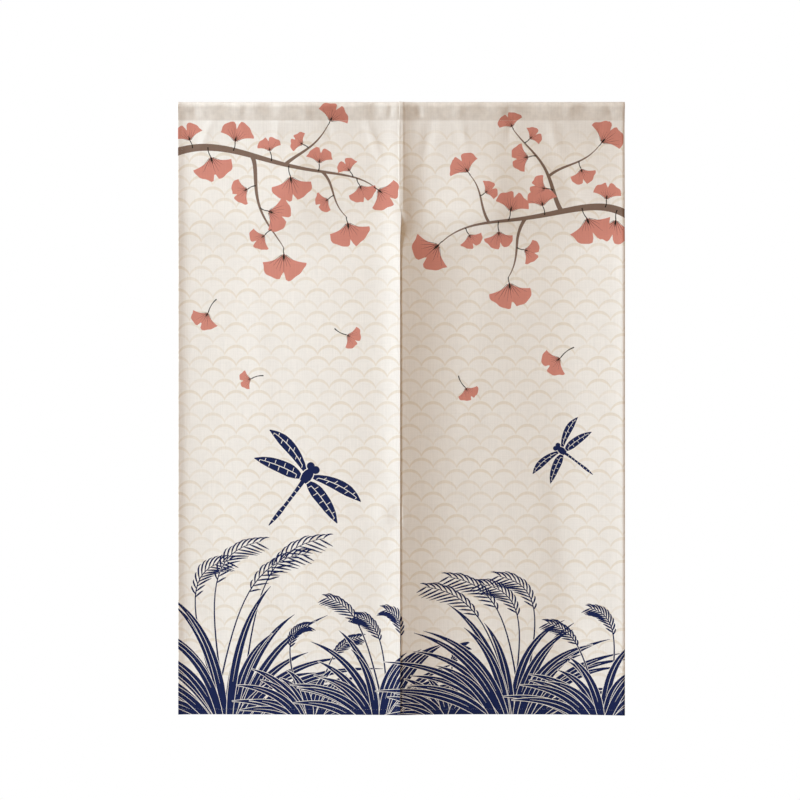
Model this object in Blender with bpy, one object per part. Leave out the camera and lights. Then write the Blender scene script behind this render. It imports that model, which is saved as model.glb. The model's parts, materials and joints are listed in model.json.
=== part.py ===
"""Partition curtain: two hemmed cloth panels side by side, each under its own length of rod pocket.

The panels are sewn edge to edge from the top down to the slit. Below it they hang free, and the left
one's edge laps a little over the right one's.
Metres, +Z up. The front faces -Y, and the origin is the middle of the top edge.
"""
import math
from collections import namedtuple

import bmesh
import bpy

# Overall sizes.
CURTAIN_WIDTH = 0.850
CURTAIN_HEIGHT = 1.167
POCKET_HEIGHT = 0.035
SEAM_LENGTH = 0.206

# Cloth. The field is one layer, and a hem is the same cloth turned over to the back.
FIELD_THICKNESS = 0.0014
HEM_THICKNESS = 0.0022
SIDE_HEM = 0.009
BOTTOM_HEM = 0.012
HEM_STEP = 0.003
HEM_COLUMNS = 3
HEM_ROWS = 2

# How far the back of a curled outer hem reaches past its front.
CURL_REACH = 0.00045

# Clearance between neighbouring pieces.
PIECE_GAP = 0.0003
WELD_DISTANCE = 0.00001

# Slit. Soon below the seam the left panel's edge stands in front of the right panel's, and further
# down it laps over it a little.
SLIT_STEP = 0.0058
SLIT_STEP_OVER = 0.040
STEP_REACH = 0.200
SLIT_LAP = 0.0024
LAP_STARTS = 0.080
LAP_OVER = 0.050

# Rod pocket: how far it stands open from front to back, and how blunt it is at the stitch line.
POCKET_DEPTH = 0.0160
POCKET_WALL = 0.0015
POCKET_POINT = 0.28
POCKET_SIDES = 16

# How finely each surface is divided. Columns crowd towards a piece's two side edges.
PANEL_COLUMNS = 19
PANEL_ROWS = 31
HEADING_COLUMNS = 20
END_COLUMN = 0.002
COLUMN_CROWDING = 0.45

# Heights at which the fold table gives its depths, from the pocket's stitch line to the hem.
HEM_HEIGHT = -CURTAIN_HEIGHT
FOLD_HEIGHTS = (-POCKET_HEIGHT, -SEAM_LENGTH, -0.290, HEM_HEIGHT)

LINEN = (0.84, 0.81, 0.77, 1.0)
LINEN_ROUGHNESS = 0.88

SIDE_NAMES = {-1: "left", 1: "right"}

# One row for each fold: the panels that it is in, where its line runs at the top and at the hem, how
# far it spreads to the left and right, and how far it stands forward at each of the fold heights.
Fold = namedtuple(
    "Fold",
    "name panels x_top x_hem left_reach right_reach at_pocket at_seam_end at_middle at_hem",
)
FOLDS = [
    Fold("seam ridge", "both", 0.000, 0.000, 0.028, 0.017, 0.0030, 0.0048, 0.0000, 0.0000),
    Fold("left slit edge forward", "left", 0.014, 0.014, 0.036, 0.036, 0.0000, 0.0000, 0.0068, 0.0064),
    Fold("left panel hollow", "left", -0.312, -0.322, 0.200, 0.200, 0.0000, -0.0030, -0.0094, -0.0098),
    Fold("left upper swell", "left", -0.205, -0.215, 0.090, 0.060, 0.0012, 0.0030, 0.0006, 0.0000),
    Fold("left hem ripple", "left", -0.300, -0.290, 0.050, 0.060, 0.0000, 0.0000, 0.0002, 0.0020),
    Fold("left edge curl", "left", -0.4375, -0.4375, 0.018, 0.018, 0.0018, 0.0030, 0.0035, 0.0037),
    Fold("right flare by the slit", "right", -0.038, -0.038, 0.074, 0.074, 0.0000, 0.0000, 0.0126, 0.0122),
    Fold("right panel hollow", "right", 0.160, 0.160, 0.140, 0.260, 0.0000, -0.0010, -0.0078, -0.0082),
    Fold("right upper swell", "right", 0.172, 0.186, 0.070, 0.040, 0.0012, 0.0034, 0.0006, 0.0000),
    Fold("right hem ripple", "right", 0.318, 0.326, 0.046, 0.040, 0.0000, 0.0000, -0.0003, -0.0020),
    Fold("right side forward", "right", 0.455, 0.455, 0.100, 0.060, 0.0008, 0.0060, 0.0134, 0.0136),
    Fold("right edge curl", "right", 0.449, 0.449, 0.030, 0.030, 0.0008, 0.0036, 0.0048, 0.0050),
]

# One row for each soft dent in the pocket's front layer: its middle, its spread and the share of the
# pocket's forward bulge that it takes away.
Dent = namedtuple("Dent", "x reach share")
DENTS = [
    Dent(-0.330, 0.020, 0.12),
    Dent(-0.250, 0.016, 0.20),
    Dent(-0.118, 0.022, 0.10),
    Dent(-0.050, 0.012, 0.18),
    Dent(0.018, 0.010, 0.22),
    Dent(0.160, 0.020, 0.15),
    Dent(0.245, 0.030, 0.20),
    Dent(0.352, 0.018, 0.16),
]


def eased(share):
    """A share from 0 to 1 that starts and ends gently."""
    share = min(max(share, 0.0), 1.0)
    return share * share * (3.0 - 2.0 * share)


def mixed(first, second, share):
    return first + (second - first) * share


def hump(distance, left_reach, right_reach):
    """A smooth hump, 1 at no distance, with its own spread on either side."""
    reach = left_reach if distance < 0.0 else right_reach
    return math.exp(-(distance / reach) ** 2)


def fold_depth(fold, height):
    """How far this fold stands forward at a height."""
    depths = (fold.at_pocket, fold.at_seam_end, fold.at_middle, fold.at_hem)
    depth = depths[0]
    for upper, lower, step in zip(FOLD_HEIGHTS, FOLD_HEIGHTS[1:], range(1, len(depths))):
        share = eased((upper - height) / (upper - lower))
        depth += (depths[step] - depths[step - 1]) * share
    return depth


def slit_step(side, x, height):
    """How far a panel stands forward along the slit: the left one more, the right one less."""
    share = eased((-height - SEAM_LENGTH) / SLIT_STEP_OVER)
    return -side * SLIT_STEP / 2.0 * share * hump(x, STEP_REACH, STEP_REACH)


def cloth_front(side, x, height):
    """The Y of a panel's front surface, as all its folds together leave it. side is -1 or 1."""
    forward = slit_step(side, x, height)
    for fold in FOLDS:
        if fold.panels in ("both", SIDE_NAMES[side]):
            line = mixed(fold.x_top, fold.x_hem, height / HEM_HEIGHT)
            forward += fold_depth(fold, height) * hump(x - line, fold.left_reach, fold.right_reach)
    return -forward


def panel_sides(side, height):
    """The X of a panel's left and right edges at a height. The inner edges meet, then lap."""
    outer = side * (CURTAIN_WIDTH / 2.0 - CURL_REACH)
    share = eased((-height - SEAM_LENGTH - LAP_STARTS) / LAP_OVER)
    inner = side * mixed(PIECE_GAP, -SLIT_LAP, share) / 2.0
    return min(outer, inner), max(outer, inner)


def crowded(start, end, count):
    """Places from start to end, both included, that lie closer together towards the two ends."""
    places = []
    for step in range(count + 1):
        share = step / count
        share -= COLUMN_CROWDING * math.sin(math.tau * share) / math.tau
        places.append(mixed(start, end, share))
    return places


def panel_columns():
    """Shares of a panel's width from edge to edge, with lines along both side hems."""
    width = CURTAIN_WIDTH / 2.0
    field_start = SIDE_HEM + HEM_STEP
    places = [0.0, END_COLUMN, SIDE_HEM]
    places += crowded(field_start, width - field_start, PANEL_COLUMNS)
    places += [width - SIDE_HEM, width - END_COLUMN, width]
    return [place / width for place in places]


def panel_rows():
    """Heights from the hem up to the stitch line, with a line along the top of the bottom hem."""
    top = -POCKET_HEIGHT - PIECE_GAP
    field_start = HEM_HEIGHT + BOTTOM_HEM + HEM_STEP
    rows = [HEM_HEIGHT, HEM_HEIGHT + BOTTOM_HEM]
    rows += [mixed(field_start, top, step / PANEL_ROWS) for step in range(PANEL_ROWS + 1)]
    return rows


def add_grid(shape, columns, rows):
    """A flat grid, and for each of its points the number of its column and of its row."""
    half = 0.5
    made = bmesh.ops.create_grid(shape, x_segments=columns - 1, y_segments=rows - 1, size=half)
    placed = []
    for point in made["verts"]:
        column = round((point.co.x + half) * (columns - 1))
        row = round((point.co.y + half) * (rows - 1))
        placed.append((point, column, row))
    return placed


def linen(name):
    material = bpy.data.materials.new(name)
    material.use_nodes = True
    shader = material.node_tree.nodes["Principled BSDF"]
    shader.inputs["Base Color"].default_value = LINEN
    shader.inputs["Roughness"].default_value = LINEN_ROUGHNESS
    shader.inputs["Metallic"].default_value = 0.0
    return material


def add_piece(name, shape):
    """Makes the named object of a finished shape, with its own material, shaded smooth."""
    mesh = bpy.data.meshes.new(name)
    shape.to_mesh(mesh)
    shape.free()
    mesh.materials.append(linen(name + "_cloth"))
    mesh.shade_smooth()
    piece = bpy.data.objects.new(name, mesh)
    bpy.context.scene.collection.objects.link(piece)
    return piece


def add_panel(name, side):
    """One panel: a single layer of cloth on its folds, thicker where its edges are hemmed."""
    columns = panel_columns()
    rows = panel_rows()
    shape = bmesh.new()
    placed = add_grid(shape, len(columns), len(rows))
    hemmed = []
    for point, column, row in placed:
        height = rows[row]
        left, right = panel_sides(side, height)
        x = mixed(left, right, columns[column])
        point.co = (x, cloth_front(side, x, height), height)
        last_columns = column >= len(columns) - HEM_COLUMNS
        hemmed.append(row < HEM_ROWS or column < HEM_COLUMNS or last_columns)
    piece = add_piece(name, shape)
    hem = piece.vertex_groups.new(name="hem")
    hem.add([number for number, is_hem in enumerate(hemmed) if is_hem], 1.0, "REPLACE")
    layers = piece.modifiers.new("cloth thickness", "SOLIDIFY")
    layers.thickness = HEM_THICKNESS
    layers.offset = -1.0
    layers.vertex_group = "hem"
    layers.thickness_vertex_group = FIELD_THICKNESS / HEM_THICKNESS
    return piece


def teardrop(turn):
    """The pocket's cross-section: how far forward, negative to the back, and how far up from 0 to 1."""
    up = (1.0 - math.cos(turn)) / 2.0
    across = math.sin(turn) * up ** POCKET_POINT
    return across, up


WIDEST = max(teardrop(math.pi * step / POCKET_SIDES)[0] for step in range(POCKET_SIDES + 1))


def bulge_left(x):
    """The share of the pocket's forward bulge that the dents leave at x."""
    share = 1.0
    for dent in DENTS:
        share -= dent.share * hump(x - dent.x, dent.reach, dent.reach)
    return share


def add_heading(name, side):
    """One length of rod pocket: the panel's top turned over to the back, open at both ends."""
    left, right = panel_sides(side, 0.0)
    places = [left] + crowded(left + END_COLUMN, right - END_COLUMN, HEADING_COLUMNS) + [right]
    shape = bmesh.new()
    placed = add_grid(shape, len(places), POCKET_SIDES + 1)
    for point, column, row in placed:
        x = places[column]
        across, up = teardrop(math.tau * row / POCKET_SIDES)
        depth = POCKET_DEPTH / 2.0 * across / WIDEST
        if depth > 0.0:
            depth *= bulge_left(x)
        middle = cloth_front(side, x, -POCKET_HEIGHT) + POCKET_WALL
        point.co = (x, middle - depth, -POCKET_HEIGHT * (1.0 - up))
    bmesh.ops.remove_doubles(shape, verts=shape.verts, dist=WELD_DISTANCE)
    piece = add_piece(name, shape)
    layer = piece.modifiers.new("cloth thickness", "SOLIDIFY")
    layer.thickness = POCKET_WALL
    layer.offset = -1.0
    layer.use_even_offset = True
    return piece


for leftover in list(bpy.data.objects):
    bpy.data.objects.remove(leftover, do_unlink=True)

for side, side_name in SIDE_NAMES.items():
    add_panel(side_name + "_panel", side)
    add_heading(side_name + "_heading", side)
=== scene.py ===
"""Partition curtain: two printed linen-look panels that hang side by side under one rod pocket.

Metres, +Z up. The front faces -Y, and the origin is the middle of the curtain's top edge.
A place on the cloth is given flat. Its across is the X that it was cut at, and its run is how far up the
cloth it lies, measured along the cloth from the hem.
"""
import itertools
import json
import math
import random
from collections import namedtuple

import bmesh
import bpy
import numpy as np
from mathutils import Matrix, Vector, kdtree
from mathutils.bvhtree import BVHTree
from mathutils.geometry import delaunay_2d_cdt

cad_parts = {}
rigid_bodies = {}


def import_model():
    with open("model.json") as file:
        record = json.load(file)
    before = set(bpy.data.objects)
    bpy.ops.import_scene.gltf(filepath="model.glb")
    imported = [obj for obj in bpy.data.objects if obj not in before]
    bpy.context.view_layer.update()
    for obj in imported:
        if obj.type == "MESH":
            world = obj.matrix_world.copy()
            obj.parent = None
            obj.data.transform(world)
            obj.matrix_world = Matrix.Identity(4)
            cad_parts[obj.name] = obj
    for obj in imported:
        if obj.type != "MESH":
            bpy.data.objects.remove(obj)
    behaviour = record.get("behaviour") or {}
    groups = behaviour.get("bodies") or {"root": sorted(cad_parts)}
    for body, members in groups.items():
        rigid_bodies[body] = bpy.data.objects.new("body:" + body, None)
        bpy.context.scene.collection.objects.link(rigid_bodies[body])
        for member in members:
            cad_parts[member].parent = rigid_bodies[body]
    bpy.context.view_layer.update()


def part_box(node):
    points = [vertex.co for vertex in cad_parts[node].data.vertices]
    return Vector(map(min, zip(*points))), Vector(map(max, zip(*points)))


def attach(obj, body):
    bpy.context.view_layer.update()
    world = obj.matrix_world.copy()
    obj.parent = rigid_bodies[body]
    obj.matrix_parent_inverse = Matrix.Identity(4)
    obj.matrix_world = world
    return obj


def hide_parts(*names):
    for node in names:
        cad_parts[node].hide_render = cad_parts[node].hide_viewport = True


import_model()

# Folds of the hanging cloth
# Each panel is one length of thin plain-woven cloth. It hangs almost flat, sewn to the other one down
# to the slit, and what shows are shallow folds, a curl along both outer edges and a step at the slit.
SIDE_NAMES = {-1: "left", 1: "right"}
OUTER_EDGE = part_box("right_panel")[1].x
HEM_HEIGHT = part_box("left_panel")[0].z
POCKET_HEIGHT = 0.035
SEAM_LENGTH = 0.206
STITCH_RUN = -POCKET_HEIGHT - HEM_HEIGHT
SEAM_GAP = 0.0003
SLIT_STEP = 0.0042
SLIT_STEP_OVER = 0.040
STEP_REACH = 0.200
SLIT_LAP = 0.0024
SLIT_ASIDE = -0.0030
LAP_STARTS = 0.018
LAP_OVER = 0.040
FOLD_HEIGHTS = (-POCKET_HEIGHT, -SEAM_LENGTH, -0.290, HEM_HEIGHT)

# A fold runs from x_top to x_hem, spreads to both sides, and has its own depth at each of four heights.
Fold = namedtuple(
    "Fold",
    "name panels x_top x_hem left_reach right_reach at_pocket at_seam_end at_middle at_hem",
)
FOLDS = [
    Fold("seam ridge", "both", 0.000, 0.000, 0.028, 0.017, 0.0028, 0.0040, 0.0000, 0.0000),
    Fold("slit edge forward", "left", 0.014, 0.014, 0.036, 0.036, 0.0000, 0.0000, 0.0068, 0.0064),
    Fold("panel hollow", "left", -0.312, -0.322, 0.200, 0.200, 0.0000, -0.0030, -0.0094, -0.0098),
    Fold("upper swell", "left", -0.205, -0.215, 0.090, 0.060, 0.0012, 0.0030, 0.0006, 0.0000),
    Fold("hem ripple", "left", -0.300, -0.290, 0.050, 0.060, 0.0000, 0.0000, 0.0002, 0.0020),
    Fold("edge curl", "left", -0.4375, -0.4375, 0.019, 0.019, 0.0032, 0.0038, 0.0040, 0.0042),
    Fold("flare by the slit", "right", -0.044, -0.044, 0.080, 0.080, 0.0000, 0.0000, 0.0136, 0.0132),
    Fold("slit edge back", "right", -0.0022, -0.0022, 0.003, 0.003, 0.0, 0.0, -0.0024, -0.0024),
    Fold("hollow by the seam", "right", 0.050, 0.050, 0.027, 0.060, -0.0003, -0.0036, 0.0, 0.0),
    Fold("panel hollow", "right", 0.160, 0.160, 0.140, 0.260, 0.0000, -0.0010, -0.0078, -0.0082),
    Fold("upper swell", "right", 0.172, 0.186, 0.070, 0.040, 0.0012, 0.0034, 0.0006, 0.0000),
    Fold("hem ripple", "right", 0.318, 0.326, 0.046, 0.040, 0.0000, 0.0000, -0.0003, -0.0020),
    Fold("side forward", "right", 0.455, 0.455, 0.100, 0.060, 0.0024, 0.0076, 0.0140, 0.0142),
    Fold("edge roll", "right", 0.4268, 0.4268, 0.0036, 0.0036, -0.0014, -0.0022, -0.0024, -0.0024),
    Fold("edge curl", "right", 0.449, 0.449, 0.030, 0.030, 0.0020, 0.0044, 0.0054, 0.0056),
]


def mixed(first, second, share):
    return first + (second - first) * share


def eased(share):
    """A share from 0 to 1 that starts and ends gently."""
    share = np.clip(share, 0.0, 1.0)
    return share * share * (3.0 - 2.0 * share)


def hump(distance, left_reach, right_reach):
    """A smooth hump, 1 at no distance, with its own spread on either side."""
    reach = np.where(distance < 0.0, left_reach, right_reach)
    return np.exp(-((distance / reach) ** 2))


def fold_depth(fold, height):
    """How far this fold stands forward at a height."""
    depths = (fold.at_pocket, fold.at_seam_end, fold.at_middle, fold.at_hem)
    depth = depths[0]
    for upper, lower, step in zip(FOLD_HEIGHTS, FOLD_HEIGHTS[1:], range(1, len(depths))):
        share = eased((upper - height) / (upper - lower))
        depth = depth + (depths[step] - depths[step - 1]) * share
    return depth


def folds_forward(side, x, height):
    """How far forward of the hanging plane the panel's front is, from its folds and the slit's step."""
    share = eased((-height - SEAM_LENGTH) / SLIT_STEP_OVER)
    forward = -side * SLIT_STEP / 2.0 * share * hump(x, STEP_REACH, STEP_REACH)
    for fold in FOLDS:
        if fold.panels in ("both", SIDE_NAMES[side]):
            line = mixed(fold.x_top, fold.x_hem, height / HEM_HEIGHT)
            shape = hump(x - line, fold.left_reach, fold.right_reach)
            forward = forward + fold_depth(fold, height) * shape
    return forward


def hanging_x(side, across, height):
    """The X at which a place on the cloth hangs. The inner edges meet along the seam, then lap."""
    outer = side * OUTER_EDGE
    share = eased((-height - SEAM_LENGTH - LAP_STARTS) / LAP_OVER)
    inner = side * mixed(SEAM_GAP, -SLIT_LAP, share) / 2.0 + SLIT_ASIDE * share
    return mixed(inner, outer, across / outer)


# Small creases
# Handling and the stitching leave small soft creases in thin cloth. Each is a ridge or, with a negative
# depth, a hollow: its place on the flat cloth, its turn from upright, its length, width and depth.
Crease = namedtuple("Crease", "across run turn long wide forward")
CREASES = [
    # Along the slit's edge.
    Crease(-0.005, 0.380, 4, 0.030, 0.016, -0.0007),
    Crease(-0.032, 0.382, 4, 0.028, 0.020, 0.0020),
    Crease(-0.034, 0.300, 14, 0.060, 0.014, 0.0006),
    # Drags that the pocket's stitches pull into the cloth below them.
    Crease(-0.372, 1.104, -24, 0.034, 0.007, 0.0007),
    Crease(-0.312, 1.112, 10, 0.026, 0.006, -0.0005),
    Crease(-0.236, 1.108, -8, 0.030, 0.008, 0.0006),
    Crease(-0.138, 1.112, 14, 0.024, 0.007, -0.0005),
    Crease(-0.054, 1.100, 20, 0.038, 0.008, 0.0009),
    Crease(0.050, 1.094, -10, 0.044, 0.010, -0.0009),
    Crease(0.118, 1.106, 12, 0.030, 0.008, 0.0007),
    Crease(0.206, 1.110, -14, 0.028, 0.007, -0.0006),
    Crease(0.292, 1.098, 18, 0.040, 0.010, 0.0008),
    Crease(0.376, 1.106, -16, 0.030, 0.008, -0.0006),
    # Rumples and long soft ripples from handling.
    Crease(0.262, 1.040, 32, 0.058, 0.014, 0.0010),
    Crease(0.318, 1.006, 24, 0.050, 0.016, -0.0009),
    Crease(-0.205, 1.030, -20, 0.060, 0.016, 0.0006),
    Crease(-0.268, 0.700, 4, 0.180, 0.020, 0.0005),
    Crease(0.142, 0.640, -5, 0.200, 0.022, 0.0006),
    Crease(0.300, 0.360, 7, 0.150, 0.020, -0.0007),
    Crease(-0.182, 0.330, -6, 0.140, 0.018, 0.0006),
    # Pinches in the pocket itself.
    Crease(-0.392, 1.148, 10, 0.012, 0.008, -0.0010),
    Crease(-0.296, 1.150, -14, 0.012, 0.007, -0.0009),
    Crease(-0.182, 1.146, 20, 0.012, 0.009, 0.0008),
    Crease(-0.020, 1.150, -8, 0.013, 0.006, -0.0012),
    Crease(0.034, 1.148, 12, 0.012, 0.007, -0.0012),
    Crease(0.108, 1.150, -18, 0.012, 0.009, 0.0009),
    Crease(0.204, 1.146, 8, 0.012, 0.008, -0.0010),
    Crease(0.318, 1.150, -12, 0.012, 0.009, 0.0009),
    Crease(0.398, 1.148, 16, 0.012, 0.007, -0.0009),
    # Beside the lap over the join.
    Crease(-0.0042, 1.150, 0, 0.018, 0.0012, -0.0005),
    Crease(0.0120, 1.060, 0, 0.060, 0.0055, -0.0002),
]


def creases_forward(side, across, run):
    """How far forward the small creases of one panel carry a place on its cloth."""
    forward = np.zeros_like(across)
    for crease in CREASES:
        if crease.across * side > 0.0:
            turn = math.radians(crease.turn)
            aside = across - crease.across
            above = run - crease.run
            along = above * math.cos(turn) - aside * math.sin(turn)
            beside = aside * math.cos(turn) + above * math.sin(turn)
            shape = np.exp(-((along / crease.long) ** 2) - (beside / crease.wide) ** 2)
            forward = forward + crease.forward * shape
    return forward


# Rod pocket
# The top of each panel is turned over to the back and stitched down with its raw edge tucked in. The
# empty pocket stands a little open, and a row of stitches draws a groove into the front.
POCKET_RADIUS = 0.0085
POCKET_SETBACK = 0.0004
POCKET_TURNS = 720
STITCH_GROOVE = 0.0004
GROOVE_REACH = 0.0032
FLAP_BELOW_STITCHES = 0.0040
SETTLES_OVER = 0.0070

# Soft dents in the pocket's front, each with its spread and the share of the bulge that it takes away.
Dent = namedtuple("Dent", "x reach share")
DENTS = [
    Dent(-0.330, 0.020, 0.12),
    Dent(-0.250, 0.016, 0.20),
    Dent(-0.118, 0.022, 0.10),
    Dent(-0.050, 0.012, 0.18),
    Dent(0.160, 0.020, 0.15),
    Dent(0.245, 0.030, 0.20),
    Dent(0.352, 0.018, 0.16),
]

lean = math.asin(POCKET_RADIUS / (POCKET_HEIGHT - POCKET_RADIUS))
pocket_turn = np.linspace(-lean, math.pi + lean, POCKET_TURNS + 1)
straight = np.linspace(0.0, 1.0, POCKET_TURNS // 4 + 1)[:-1]
side_forward = straight * POCKET_RADIUS * math.cos(lean)
side_height = mixed(-POCKET_HEIGHT, -POCKET_RADIUS * (1.0 + math.sin(lean)), straight)
pocket_forward = np.concatenate([side_forward, POCKET_RADIUS * np.cos(pocket_turn), -side_forward[::-1]])
round_height = POCKET_RADIUS * (np.sin(pocket_turn) - 1.0)
pocket_height = np.concatenate([side_height, round_height, side_height[::-1]])
pocket_steps = np.hypot(np.diff(pocket_forward), np.diff(pocket_height))
pocket_run = np.concatenate([[0.0], np.cumsum(pocket_steps)])
POCKET_ROUND = pocket_run[-1]
CLOTH_RUN = STITCH_RUN + POCKET_ROUND + FLAP_BELOW_STITCHES

# Cloth thickness: one layer, and two where an edge is hemmed to the back.
LAYER = 0.0007
HEM_LAYERS = 0.0015
SIDE_HEM = 0.009
BOTTOM_HEM = 0.012
HEM_STEP = 0.0006
EDGE_ROUND = 0.0006
LAYER_GAP = 0.00005


def edge_distances(across, run):
    """How far a place is from the cloth's nearer side edge, and from its hem or its tucked edge."""
    from_side = np.minimum(np.abs(across), OUTER_EDGE - np.abs(across))
    return np.clip(from_side, 0.0, None), np.clip(np.minimum(run, CLOTH_RUN - run), 0.0, None)


def cloth_thickness(across, run):
    from_side, _ = edge_distances(across, run)
    inside_sides = np.clip((from_side - SIDE_HEM) / HEM_STEP, 0.0, 1.0)
    inside_bottom = np.clip((run - BOTTOM_HEM) / HEM_STEP, 0.0, 1.0)
    return mixed(HEM_LAYERS, LAYER, inside_sides * inside_bottom)


def cloth_surface(side, across, run):
    """World places of the cloth's printed face: up the panel, forward round the pocket, down its back."""
    over = run - STITCH_RUN
    on_pocket = (over > 0.0) & (over < POCKET_ROUND)
    on_flap = over >= POCKET_ROUND
    height = np.where(on_pocket, np.interp(over, pocket_run, pocket_height), HEM_HEIGHT + run)
    height = np.where(on_flap, -POCKET_HEIGHT - (over - POCKET_ROUND), height)
    fold_height = np.minimum(height, -POCKET_HEIGHT)
    x = hanging_x(side, across, fold_height)
    forward = folds_forward(side, x, fold_height)
    groove = STITCH_GROOVE * np.exp(-(((fold_height + POCKET_HEIGHT) / GROOVE_REACH) ** 2))
    small = np.where(over < POCKET_ROUND / 2.0, creases_forward(side, across, run), 0.0)

    bulge = np.ones_like(across)
    for dent in DENTS:
        bulge = bulge - dent.share * hump(x - dent.x, dent.reach, dent.reach)
    pocket = np.interp(over, pocket_run, pocket_forward)
    pocket = np.where(pocket > 0.0, pocket * bulge, pocket) - POCKET_SETBACK
    meets_front = (POCKET_SETBACK - STITCH_GROOVE) * (1.0 - eased(over / SETTLES_OVER))
    flap_back = STITCH_GROOVE + 2.0 * cloth_thickness(across, run) + LAYER_GAP
    meets_back = (POCKET_SETBACK - flap_back) * (1.0 - eased((POCKET_ROUND - over) / SETTLES_OVER))

    relief = np.where(on_pocket, pocket + meets_front + meets_back, -groove)
    relief = np.where(on_flap, -groove + STITCH_GROOVE - flap_back, relief)
    return np.stack([x, -(forward + small + relief), height], axis=-1)


NORMAL_REACH = 0.0004


def cloth_normals(side, across, run):
    """Unit vectors straight out of the cloth's printed face."""
    outer = side * OUTER_EDGE
    low, high = min(outer, 0.0), max(outer, 0.0)
    lower_across = np.clip(across - NORMAL_REACH, low, high)
    upper_across = np.clip(across + NORMAL_REACH, low, high)
    lower_run = np.clip(run - NORMAL_REACH, 0.0, CLOTH_RUN)
    upper_run = np.clip(run + NORMAL_REACH, 0.0, CLOTH_RUN)
    aside = cloth_surface(side, upper_across, run) - cloth_surface(side, lower_across, run)
    upward = cloth_surface(side, across, upper_run) - cloth_surface(side, across, lower_run)
    normals = np.cross(aside, upward)
    return normals / np.linalg.norm(normals, axis=1)[:, None]


# Printed motifs
# The cloth is printed in flat inks before it is sewn, so a motif may run off an edge or across the slit.
# Each print is the outline of one patch of ink on the flat cloth, and a later one covers an earlier one.
Print = namedtuple("Print", "outline ink")
prints = []


def on_curve(control, shares):
    """Places along the smooth curve that a few control places pull into shape."""
    places = [np.array(place, dtype=float) + np.zeros((len(shares), 2)) for place in control]
    while len(places) > 1:
        places = [mixed(first, second, shares[:, None]) for first, second in zip(places, places[1:])]
    return places[0]


def brush_stroke(control, widths, steps, start=0.0, end=1.0, extra=0.0):
    """The outline of a stroke along a curve, which passes evenly through widths, plus extra all round."""
    shares = np.linspace(0.0, 1.0, steps + 1)
    middle = on_curve(control, mixed(start, end, shares))
    ahead = np.gradient(middle, axis=0)
    ahead /= np.linalg.norm(ahead, axis=1)[:, None]
    aside = np.column_stack([-ahead[:, 1], ahead[:, 0]])
    reach = np.interp(shares, np.linspace(0.0, 1.0, len(widths)), widths) / 2.0 + extra
    left = middle + aside * reach[:, None]
    right = middle - aside * reach[:, None]
    return np.vstack([left, right[::-1]])


def set_down(outline, place, turn, size):
    """An outline drawn upright at size 1, set down at a place, turned anticlockwise by some degrees."""
    angle = math.radians(turn)
    spin = np.array([[math.cos(angle), math.sin(angle)], [-math.sin(angle), math.cos(angle)]])
    return np.asarray(outline) @ spin * size + np.array(place)


def print_patch(outline, ink):
    prints.append(Print(np.asarray(outline), ink))


# Fan leaf boughs
# Thin brown twigs with stalked, notched fan leaves in dusty coral, drawn with a dry dark brush. One
# bough comes in from each outer edge, and a few leaves fall below them.

# A bough's reaches are places on the cloth, and a twig's are steps from where it leaves its parent.
Twig = namedtuple("Twig", "name parent share reaches widths")
TWIGS = [
    Twig("left bough", None, 0.0,
         ((-0.432, 1.070), (-0.345, 1.104), (-0.262, 1.062),
          (-0.205, 1.014), (-0.112, 1.052), (-0.052, 1.006)),
         (0.0150, 0.0125, 0.0095, 0.0068, 0.0044, 0.0018)),
    Twig("left drop", "left bough", 0.36,
         ((0.020, -0.030), (-0.014, -0.100), (0.036, -0.130), (0.062, -0.176)),
         (0.0085, 0.0070, 0.0050, 0.0034, 0.0016)),
    Twig("left sprig up", "left bough", 0.53, ((0.030, 0.026), (0.058, 0.030), (0.082, 0.076)),
         (0.0070, 0.0050, 0.0034, 0.0016)),
    Twig("left sprig down", "left bough", 0.72, ((0.026, -0.024), (0.014, -0.056), (0.046, -0.086)),
         (0.0058, 0.0042, 0.0030, 0.0014)),
    Twig("right bough", None, 0.0,
         ((0.432, 0.950), (0.372, 0.990), (0.300, 0.962),
          (0.226, 0.914), (0.150, 0.968), (0.082, 0.902)),
         (0.0155, 0.0130, 0.0100, 0.0070, 0.0046, 0.0018)),
    Twig("right rise", "right bough", 0.38,
         ((-0.026, 0.040), (-0.012, 0.092), (-0.062, 0.112), (-0.092, 0.156)),
         (0.0090, 0.0072, 0.0052, 0.0036, 0.0016)),
    Twig("right sprig out", "right rise", 0.40, ((0.030, 0.026), (0.066, 0.020), (0.096, 0.058)),
         (0.0056, 0.0042, 0.0030, 0.0014)),
    Twig("right drop", "right bough", 0.57, ((-0.024, -0.034), (-0.004, -0.070), (-0.030, -0.112)),
         (0.0070, 0.0052, 0.0036, 0.0016)),
    Twig("right sprig up", "right bough", 0.76, ((-0.020, 0.032), (-0.010, 0.060), (-0.036, 0.090)),
         (0.0056, 0.0042, 0.0030, 0.0014)),
]
TWIG_STEPS = 36
STALK_WIDTHS = (0.0024, 0.0016, 0.0020)
STALK_STEPS = 6
STALK_SAG = 0.16

LEAF_SPREAD = math.radians(67)
LEAF_STEPS = 30
LEAF_WAVES = ((0.030, 7.0), (0.018, 13.0))
LEAF_NOTCH = 0.34
LEAF_NOTCH_ASIDE = 0.08
LEAF_NOTCH_WIDTH = 0.075
LEAF_SHOULDER = 0.13
LEAF_SIDE_PULL = (0.24, 0.30)
LEAF_SIDE_STEPS = 8
VEIN_COUNT = 9
VEIN_STARTS = 0.10
VEIN_WIDTHS = (0.020, 0.012, 0.004)
VEIN_STEPS = 4
VEIN_SHORTEST = 0.42
VEIN_LONGEST = 0.80
HEART_WIDTHS = (0.030, 0.085, 0.050, 0.010)
HEART_END = 0.34

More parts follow.
